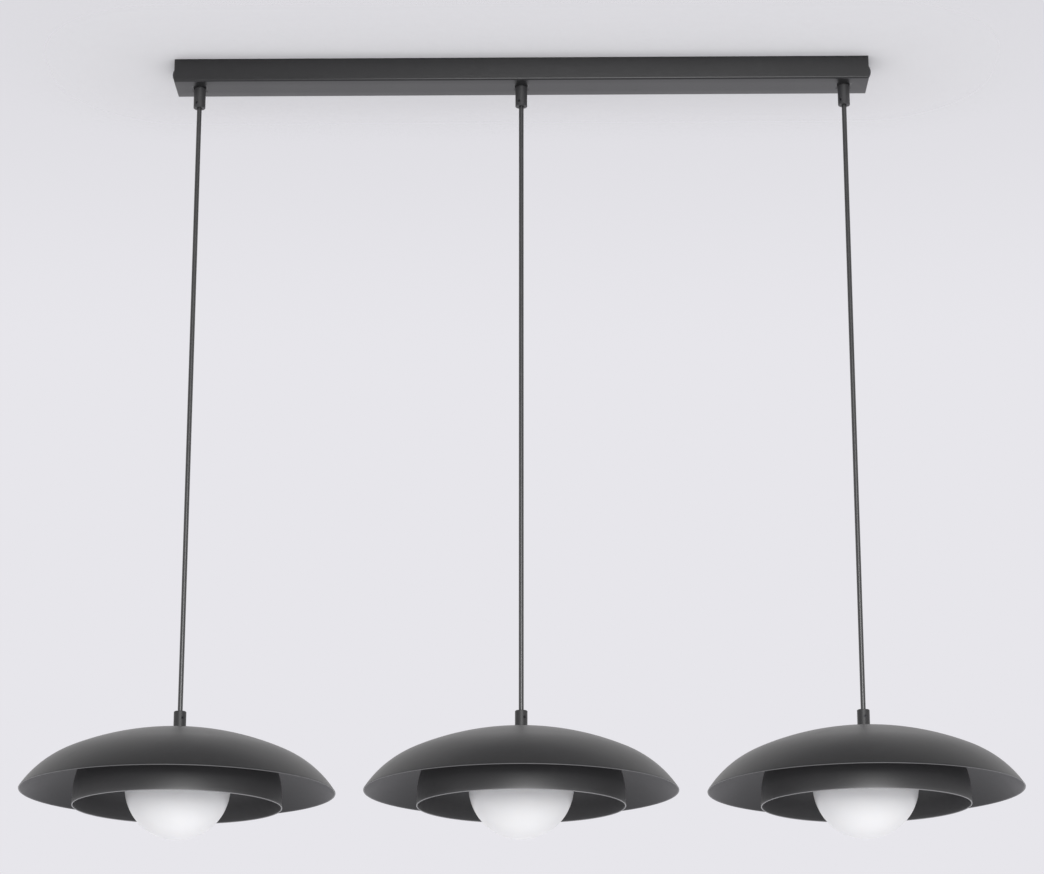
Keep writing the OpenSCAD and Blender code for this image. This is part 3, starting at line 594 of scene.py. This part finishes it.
def bowl_profile(bm):
    """Outside from the hole to the rim, round the rim, and back along the inside."""
    seat_steps, crown_steps, knuckle_steps, side_steps = 5, 12, 10, 20
    wall_steps, rim_steps, inner_seat_steps = 5, 8, 4
    crown, knuckle, side_radius, seat = 258 * mm, 14 * mm, 64 * mm, 36 * mm
    rim, straight, draft = 99.3 * mm, 15.3 * mm, 2.6
    crown_at = Vector((0, 0, BOWL_SEAT_Z - math.sqrt(crown**2 - seat**2)))
    up_wall = Vector((-math.sin(math.radians(draft)), 0, math.cos(math.radians(draft))))
    wall_top = Vector((rim, 0, BOWL_RIM_Z)) + straight * up_wall
    side_at = wall_top - side_radius * from_up(90 - draft)
    knuckle_at = meeting(crown_at, crown - knuckle, side_at, side_radius - knuckle)
    seat_turn = math.degrees(math.asin(seat / crown))
    crown_turn, side_turn = turn_of(knuckle_at - crown_at), turn_of(knuckle_at - side_at)
    wall_turn = 90 - draft
    end = bm.verts.new((HOLE, 0, BOWL_SEAT_Z))
    first = end
    end = line(bm, end, seat, BOWL_SEAT_Z, seat_steps)
    end = arc(bm, end, crown_at, crown_turn - seat_turn, crown_steps)
    end = arc(bm, end, knuckle_at, side_turn - crown_turn, knuckle_steps)
    end = arc(bm, end, side_at, wall_turn - side_turn, side_steps)
    rim_centre = Vector((rim, 0, BOWL_RIM_Z)) + RIM_ROUND * (up_wall - from_up(wall_turn))
    low = rim_centre + RIM_ROUND * from_up(wall_turn)
    end = line(bm, end, low.x, low.z, wall_steps)
    end = arc(bm, end, rim_centre, 180, rim_steps)
    inside_top = wall_top - WALL * from_up(wall_turn)
    end = line(bm, end, inside_top.x, inside_top.z, wall_steps)
    end = arc(bm, end, side_at, side_turn - wall_turn, side_steps)
    end = arc(bm, end, knuckle_at, crown_turn - side_turn, knuckle_steps)
    inside_turn = math.degrees(math.acos((BOWL_SEAT_Z - WALL - crown_at.z) / (crown - WALL)))
    end = arc(bm, end, crown_at, inside_turn - crown_turn, crown_steps)
    end = line(bm, end, HOLE, BOWL_SEAT_Z - WALL, inner_seat_steps)
    bm.edges.new((end, first))


for side, x in PENDANTS.items():
    bm = bmesh.new()
    bowl_profile(bm)
    turn(bm, BOWL_SIDES)
    bowl = make_piece(bm, side + "_bowl", bowl_coat_painted_lighter, x)
    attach(bowl, side + "_pendant")
    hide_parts(side + "_inner_shade")
    print(bowl.name, "rim at", round(BOWL_RIM_Z / mm, 1), "mm, faces:", len(bowl.data.polygons))

# %% [markdown]
# ## Glass balls
# Each ball is blown in one piece with a short neck. The neck's lip is ground and rounded, and three
# lugs on it turn in over the tabs of the holder cup. The lugs are short spins of a small rectangle.

# %% One ball with its neck and lugs
BALL_Z = -737.83 * mm
BALL_RADIUS, GLASS, NECK = 50 * mm, 2 * mm, 31 * mm
NECK_TOP_Z, LUG_LOW_Z, LUG_TOP_Z = -693.2 * mm, -697.1 * mm, -694.6 * mm
LUG_COUNT, LUG_SPAN, LUG_STEPS = 3, 24, 8
BALL_SIDES = 160


def ball_profile(bm):
    """Outside from the lowest point to the neck, over the lip, and back along the inside."""
    ball_steps, neck_steps, lip_steps, hollow_steps = 64, 3, 6, 48
    centre = Vector((0, 0, BALL_Z))
    outer_turn = math.degrees(math.asin(NECK / BALL_RADIUS))
    inner_turn = math.degrees(math.asin((NECK - GLASS) / (BALL_RADIUS - GLASS)))
    lip = GLASS / 2
    end = bm.verts.new((0, 0, BALL_Z - BALL_RADIUS))
    end = arc(bm, end, centre, outer_turn - 180, ball_steps)
    end = line(bm, end, NECK, NECK_TOP_Z - lip, neck_steps)
    end = arc(bm, end, (NECK - lip, 0, NECK_TOP_Z - lip), -180, lip_steps)
    inside = centre + (BALL_RADIUS - GLASS) * from_up(inner_turn)
    end = line(bm, end, inside.x, inside.z, neck_steps)
    arc(bm, end, centre, 180 - inner_turn, hollow_steps)


def lug(bm, middle_turn):
    """A rectangle outside the neck, spun through a short turn."""
    inside, outside = NECK - GLASS / 2, NECK + 2 * mm
    corners = [(inside, LUG_LOW_Z), (outside, LUG_LOW_Z), (outside, LUG_TOP_Z), (inside, LUG_TOP_Z)]
    verts = [bm.verts.new((r, 0, z)) for r, z in corners]
    face = bm.faces.new(verts)
    start = Matrix.Rotation(math.radians(middle_turn - LUG_SPAN / 2), 3, "Z")
    bmesh.ops.rotate(bm, verts=verts, cent=(0, 0, 0), matrix=start)
    bmesh.ops.spin(bm, geom=[face], cent=(0, 0, 0), axis=(0, 0, 1),
                   angle=math.radians(LUG_SPAN), steps=LUG_STEPS)


for side, x in PENDANTS.items():
    bm = bmesh.new()
    ball_profile(bm)
    turn(bm, BALL_SIDES)
    lugs = bmesh.new()
    for k in range(LUG_COUNT):
        lug(lugs, 360 / LUG_COUNT * k)
    bmesh.ops.recalc_face_normals(lugs, faces=lugs.faces)
    spare = bpy.data.meshes.new("lugs")
    lugs.to_mesh(spare)
    lugs.free()
    bm.from_mesh(spare)
    bpy.data.meshes.remove(spare)
    ball = make_piece(bm, side + "_ball", ball_white, x)
    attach(ball, side + "_glass")
    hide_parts(side + "_globe")
    print(ball.name, "faces:", len(ball.data.polygons))

# %% [markdown]
# ## Canopy
# The canopy is a long box that is open to the ceiling. Bent from sheet, it has a soft radius along
# its two lower edges and crisp seams at its ends. A cube without its top, two bevels and a wall
# thickness give exactly that. A punched hole starts as a square cut into a face. An inset inside
# it is pulled onto a circle and taken out before the wall is made, so the wall gives it depth.

# %% Punching a hole
LEVEL = 0.99
SQUARE_REACH, SQUARE_CUTS, SQUARE_INSET = 1.6, 7, 0.2


def punch(bm, centre, normal, radius):
    """Punches a round hole into the flat face that the centre lies on."""
    centre, normal = Vector(centre), Vector(normal)
    half = SQUARE_REACH * radius
    across = [Vector((0, 1, 0)), normal.cross((0, 1, 0))]

    def face_here():
        level = [f for f in bm.faces if f.normal.dot(normal) > LEVEL]
        return min(level, key=lambda f: (f.calc_center_median() - centre).length)

    for way in across + [-way for way in across]:
        level = [f for f in bm.faces if f.normal.dot(normal) > LEVEL]
        flat = [f for f in level if bmesh.geometry.intersect_face_point(f, centre)]
        parts = {part for f in flat for part in (f, *f.edges, *f.verts)}
        bmesh.ops.bisect_plane(bm, geom=list(parts), dist=TOUCHING,
                               plane_co=centre + half * way, plane_no=way)
    bmesh.ops.subdivide_edges(bm, edges=list(face_here().edges), cuts=SQUARE_CUTS)
    square = face_here()
    bmesh.ops.inset_individual(bm, faces=[square], thickness=SQUARE_INSET * radius)
    for corner in square.verts:
        corner.co = centre + radius * (corner.co - centre).normalized()
    bmesh.ops.delete(bm, geom=[square], context="FACES_ONLY")


# %% The folded box
LENGTH, WIDTH, HEIGHT, SHEET = 700 * mm, 42 * mm, 24 * mm, 1.5 * mm
BEND, SEAM = 2 * mm, 0.35 * mm
BEND_SEGMENTS, SEAM_SEGMENTS, CORNER_ANGLE = 8, 3, math.radians(60)


def soften(bm, edges, offset, segments):
    """Rounds edges off."""
    bmesh.ops.bevel(bm, geom=edges, offset=offset, affect="EDGES", segments=segments, profile=0.5,
                    material=-1, clamp_overlap=True)


bm = bmesh.new()
bmesh.ops.create_cube(bm, size=1)
bmesh.ops.scale(bm, verts=bm.verts, vec=(LENGTH, WIDTH, HEIGHT))
bmesh.ops.translate(bm, verts=bm.verts, vec=(0, 0, -HEIGHT / 2))
top = [f for f in bm.faces if f.normal.z > LEVEL]
bmesh.ops.delete(bm, geom=top, context="FACES_ONLY")
long_edges = [e for e in bm.edges if e.calc_length() > LENGTH / 2 and e.verts[0].co.z < -HEIGHT / 2]
soften(bm, long_edges, BEND, BEND_SEGMENTS)
end_edges = [e for e in bm.edges if len(e.link_faces) == 2 and e.calc_face_angle() > CORNER_ANGLE]
soften(bm, end_edges, SEAM, SEAM_SEGMENTS)
print("box faces:", len(bm.faces), "end edges:", len(end_edges))

# %% Its holes and its wall
END_HOLE_Z, END_HOLE = -9 * mm, 2.15 * mm
for x in PENDANTS.values():
    punch(bm, (x, 0, -HEIGHT), (0, 0, -1), HOLE)
for end in (-1, 1):
    punch(bm, (end * LENGTH / 2, 0, END_HOLE_Z), (end, 0, 0), END_HOLE)
print("canopy faces:", len(bm.faces))
bmesh.ops.recalc_face_normals(bm, faces=bm.faces)
canopy = make_piece(bm, "canopy_shell", canopy_coat_painted_darker)
wall = canopy.modifiers.new("sheet", "SOLIDIFY")
wall.thickness, wall.offset, wall.use_even_offset = SHEET, -1, True
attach(canopy, "canopy")
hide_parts("canopy_housing")

# %% [markdown]
# ## Carried-over solids
# Grips, screws, nuts, bracket, lampholders and wiring keep their CAD solids, because these already
# have their bores, threads' cores and recesses. They only need their finishes.

# %% Finishes on the CAD nodes
NODE_FINISHES = {
    "canopy_grip": grip_coat_painted_lighter, "shade_grip": grip_coat_painted_lighter, "spacer": grip_coat_painted_lighter,
    "end_screws": black_steel, "canopy_grub_screws": black_steel, "shade_grub_screw": black_steel,
    "ceiling_bracket": zinc, "canopy_lock_nuts": zinc, "nipple": zinc, "holder_cup": zinc,
    "lock_nut": zinc,
    "terminal_screws": brass, "earth_screw": brass, "lamp_contacts": brass,
    "terminal_block": block_white, "lampholder": clay, "lamp": capsule_white,
    "live_leads": live_brown, "neutral_leads": neutral_blue, "earth_lead": earth_stripes,
}
shown = {name: node for name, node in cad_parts.items() if not node.hide_render}
for name, node in shown.items():
    kind = name if name in NODE_FINISHES else name.split("_", 1)[1]
    node.data.materials.clear()
    node.data.materials.append(NODE_FINISHES[kind])
print("CAD nodes shown:", len(shown))

# %% [markdown]
# ## Floor
# The floor is a wide sheet of pale paper, far below the light, and clear from beneath. Lit by the
# softbox alone it would burn out at the front. So the camera sees most of its paleness as a glow of
# its own and a quarter as lit paper, which still takes a shadow, and gloss sees only the glow.

# %% Floor paper
BACKDROP, BLACK = (0.799, 0.791, 0.831), (0, 0, 0)
FLOOR_Z, FLOOR_REACH, FLOOR_GLOW = -1900 * mm, 14, 1.2
floor_finish = Finish("floor_paper", {"Specular IOR Level": 0.2, "Emission Strength": FLOOR_GLOW})
glossy, seen = (floor_finish.add("ShaderNodeLightPath", output=kind)
                for kind in ("Is Glossy Ray", "Is Camera Ray"))
unlit, glow = glossy + 0.75 * seen, glossy + 0.65 * seen
paper = floor_finish.blend(floor_finish.cloud(3), (0.80, 0.79, 0.83), (0.77, 0.76, 0.80))
floor_finish.give(Base_Color=floor_finish.blend(unlit, paper, BLACK))
floor_finish.give(Emission_Color=floor_finish.blend(glow, BLACK, BACKDROP))
from_below = floor_finish.add("ShaderNodeNewGeometry", output="Backfacing")
floor_finish.give(Roughness=0.75 + 0.1 * floor_finish.cloud(40), Alpha=1 - from_below)
floor_finish.material.cycles.emission_sampling = "NONE"
print("floor paper made:", floor_finish.material.name)


# %% Floor sheet
def stage_sheet(bm, name, material):
    """A sheet that belongs to the studio and not to the light."""
    mesh = bpy.data.meshes.new(name)
    bm.to_mesh(mesh)
    bm.free()
    mesh.materials.append(material)
    sheet = bpy.data.objects.new(name, mesh)
    bpy.context.scene.collection.objects.link(sheet)


bm = bmesh.new()
bmesh.ops.create_grid(bm, x_segments=1, y_segments=1, size=FLOOR_REACH)
bmesh.ops.translate(bm, verts=bm.verts, vec=(0, 0, FLOOR_Z))
stage_sheet(bm, "floor", floor_finish.material)
print("floor at mm:", round(FLOOR_Z / mm))

# %% [markdown]
# ## Ceiling
# The ceiling shows only by the soft shadow round the canopy, so a sheet of ceiling paper that fades
# out beyond it is enough. It is one-sided: from above it is clear, and over the canopy it is open,
# so that the bracket shows from above. Its clearness grows with the distance from the canopy.

# %% Ceiling paper
FADE_OUT = 200 * mm
ceiling_finish = Finish("ceiling_paper", {"Specular IOR Level": 0.1})
beyond_x = (ceiling_finish.place.along("X").size() - LENGTH / 2).or_more(0)
beyond_y = (ceiling_finish.place.along("Y").size() - WIDTH / 2).or_more(0)
away = beyond_x.math("SQRT", beyond_x * beyond_x + beyond_y * beyond_y)
from_above = ceiling_finish.add("ShaderNodeNewGeometry", output="Backfacing")
ceiling_finish.give(Alpha=(1 - away.over(0, FADE_OUT)) * (1 - from_above))
paper = ceiling_finish.blend(ceiling_finish.cloud(60), (0.855, 0.86, 0.865), (0.84, 0.845, 0.85))
ceiling_finish.give(Base_Color=paper, Roughness=0.9 + 0.05 * ceiling_finish.cloud(200))
print("ceiling paper made:", ceiling_finish.material.name)

# %% Ceiling sheet
PAPER_LENGTH, PAPER_WIDTH, PAPER_Z = 1300 * mm, 640 * mm, 0.2 * mm
gap_length, gap_width = LENGTH - 2 * SHEET, WIDTH - 2 * SHEET
bm = bmesh.new()
bmesh.ops.create_grid(bm, x_segments=1, y_segments=1, size=0.5)
bmesh.ops.scale(bm, verts=bm.verts, vec=(gap_length, gap_width, 1))
opening = list(bm.faces)
outer = bmesh.ops.extrude_edge_only(bm, edges=bm.edges[:])["geom"]
spread = [v for v in outer if isinstance(v, bmesh.types.BMVert)]
bmesh.ops.scale(bm, verts=spread, vec=(PAPER_LENGTH / gap_length, PAPER_WIDTH / gap_width, 1))
bmesh.ops.delete(bm, geom=opening, context="FACES_ONLY")
bmesh.ops.translate(bm, verts=bm.verts, vec=(0, 0, PAPER_Z))
for face in bm.faces:
    if face.normal.z > 0:
        face.normal_flip()
print("ceiling faces:", len(bm.faces))
stage_sheet(bm, "ceiling", ceiling_finish.material)

# %% [markdown]
# ## Room
# The world answers every ray that meets nothing. The camera sees the backdrop, a little darker high
# up. Gloss sees a room that is pale behind, level with the light and below it, and darker above the
# photographer. All other rays get an even light. Cycles can't tell these kinds apart when it picks
# directions in the world by itself, so that way of sampling is switched off.

# %% World
ROOM_LIGHT, DARK_ROOM, PALE_ROOM = 0.54, 0.42, 0.95
world = bpy.data.worlds.new("studio")
bpy.context.scene.world = world
world.use_nodes = True
world.cycles.sampling_method = "NONE"
studio = Graph(world.node_tree)
towards = studio.add("ShaderNodeTexCoord", output="Generated")
seen, glossy, through = (studio.add("ShaderNodeLightPath", output=kind)
                         for kind in ("Is Camera Ray", "Is Glossy Ray", "Is Transmission Ray"))
wall_shade = 1 - 0.11 * towards.along("Z").over(0.30, 0.43)
pale = towards.along("Y").over(-0.3, 0.5)
level = 1 - towards.along("Z").over(0.2, 0.42)
mirrored = DARK_ROOM + (PALE_ROOM - DARK_ROOM) * pale.or_more(level)
straight = seen.or_more(through)
tint = studio.blend(straight, (1.0, 0.99, 1.0), BACKDROP)
light = straight.pick(wall_shade, glossy.pick(mirrored, ROOM_LIGHT))
shone = studio.add("ShaderNodeBackground", None, {"Color": tint, "Strength": light})
studio.add("ShaderNodeOutputWorld", None, {"Surface": shone})
print("world nodes:", len(world.node_tree.nodes))


# %% [markdown]
# ## Lamps
# A large softbox in front gives the domes their broad soft light and the cords their bright line. A
# wide weak lamp just over the floor stands for the light that a pale floor throws back up into the
# bowls. It is hidden from gloss, which already sees the floor itself.

# %% Lamps
def lamp(name, where, towards, size, power):
    """A rectangular area lamp that points at a place."""
    data = bpy.data.lights.new(name, "AREA")
    data.shape, data.size, data.size_y, data.energy = "RECTANGLE", size[0], size[1], power
    lit = bpy.data.objects.new(name, data)
    bpy.context.scene.collection.objects.link(lit)
    lit.location = where
    lit.rotation_euler = (Vector(towards) - Vector(where)).to_track_quat("-Z", "Y").to_euler()
    lit.visible_camera = False
    return lit


lamp("front_softbox", (0.45, -3.4, -0.35), (0, 0, -0.5), (2.2, 1.3), 67)
lamp("floor_bounce", (0, -0.4, -1.86), (0, -0.4, 0), (6.0, 4.0), 34).visible_glossy = False
bpy.context.scene.view_settings.view_transform = "Standard"
